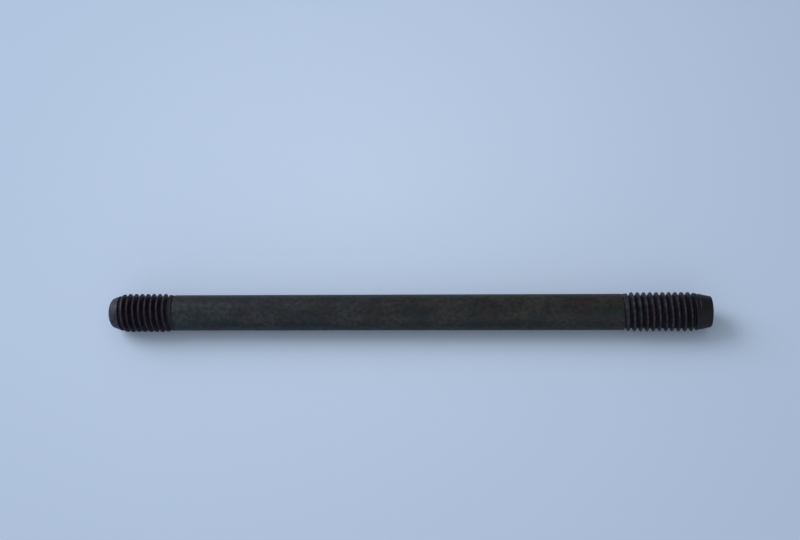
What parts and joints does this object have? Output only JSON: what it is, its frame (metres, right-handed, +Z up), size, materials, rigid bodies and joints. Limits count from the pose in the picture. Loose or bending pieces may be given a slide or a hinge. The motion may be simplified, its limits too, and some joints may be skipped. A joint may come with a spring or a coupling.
{
  "type": "cylinder stud",
  "caption": "Double-ended stud with a plain thin shank, a short thread with a domed point and a longer thread with a tapered flat point.",
  "frame": {"origin": "on the plane that the thread crests rest on, under the middle of the stud's length", "axes": "+X along the stud towards the tapered crankcase end, -X towards the domed nut end, +Z up"},
  "size_m": [0.1238, 0.008, 0.008],
  "materials": {
    "black_oxide_steel": "matte dark oxide on rolled steel"
  },
  "bodies": {
    "root": {"cylinder_stud": "black_oxide_steel"}
  },
  "joints": []
}
